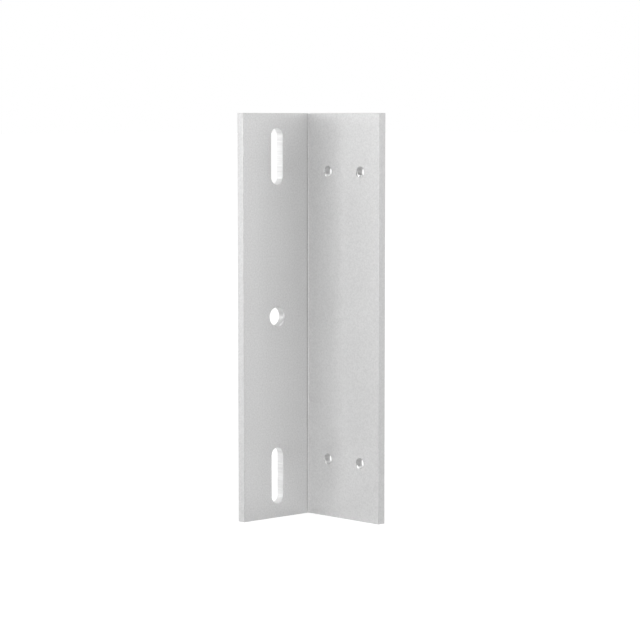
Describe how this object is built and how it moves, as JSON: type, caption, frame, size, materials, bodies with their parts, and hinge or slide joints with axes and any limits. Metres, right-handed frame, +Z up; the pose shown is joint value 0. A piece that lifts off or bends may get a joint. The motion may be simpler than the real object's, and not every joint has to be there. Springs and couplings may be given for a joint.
{
  "type": "magnetic lock angle bracket",
  "caption": "Right-angle aluminium bracket that carries a magnetic door lock: one slotted leaf for the door frame, one tapped leaf for the lock.",
  "frame": {"origin": "centre of the slot pattern, on the outer face of the slotted leaf, which lies against the door frame", "axes": "+Z up the length of the angle, +X away from the door frame through the slotted leaf and along the tapped leaf, +Y from the slots towards the corner of the angle"},
  "size_m": [0.05, 0.044, 0.185],
  "materials": {
    "anodised_aluminium": "fine bead-blasted, clear anodised, satin"
  },
  "bodies": {
    "root": {"angle_bracket": "anodised_aluminium"}
  },
  "joints": []
}
